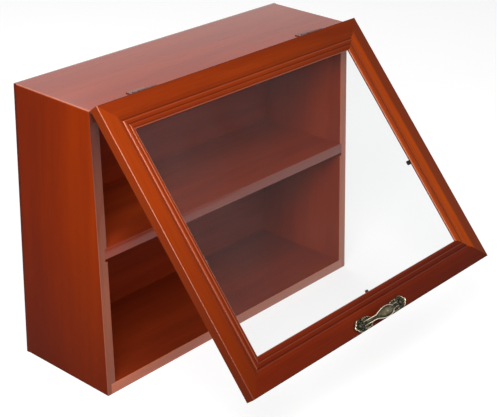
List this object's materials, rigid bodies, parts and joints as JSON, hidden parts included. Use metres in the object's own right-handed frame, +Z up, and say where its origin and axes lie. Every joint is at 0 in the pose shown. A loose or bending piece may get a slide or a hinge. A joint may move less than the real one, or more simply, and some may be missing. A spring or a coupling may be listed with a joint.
{
  "type": "display case",
  "caption": "Small wall or countertop display case in reddish wood, with a shelf, a front that leans back, a moulded glazed door hinged along its top edge and an ornate brass pull.",
  "frame": {"origin": "centre of the underside of the case, the door left out", "axes": "+Z up, +X to the right seen from the front, the leaning front and its door face -Y"},
  "size_m": [0.32, 0.2657, 0.2536],
  "materials": {
    "cherry_wood": "satin lacquered cherry stain",
    "back_board": "stained thin board",
    "hinge_brass": "plain bright brass",
    "pin_steel": "plain steel",
    "brad_steel": "plain steel",
    "antique_brass": "antiqued, dark in the recesses",
    "tab_black": "matt black",
    "pane_glass": "clear float glass"
  },
  "bodies": {
    "case": {"left_side": "cherry_wood", "right_side": "cherry_wood", "top_panel": "cherry_wood", "bottom_panel": "cherry_wood", "shelf": "cherry_wood", "back_panel": "back_board", "back_brads": "brad_steel", "hinge_left_case_leaf": "hinge_brass", "hinge_right_case_leaf": "hinge_brass", "hinge_left_pin": "pin_steel", "hinge_right_pin": "pin_steel", "case_leaf_screws": "hinge_brass"},
    "door": {"door_top_rail": "cherry_wood", "door_bottom_rail": "cherry_wood", "door_left_stile": "cherry_wood", "door_right_stile": "cherry_wood", "glass_pane": "pane_glass", "glazing_tabs": "tab_black", "hinge_left_door_leaf": "hinge_brass", "hinge_right_door_leaf": "hinge_brass", "door_leaf_screws": "hinge_brass", "pull_handle": "antique_brass", "pull_screws": "antique_brass"}
  },
  "joints": [
    {"name": "door_hinge", "type": "hinge", "parent": "case", "child": "door", "pos_m": [0, -0.03689, 0.2489], "axis": [-1, 0, 0], "range_deg": [-37.9, 142.1]}
  ]
}
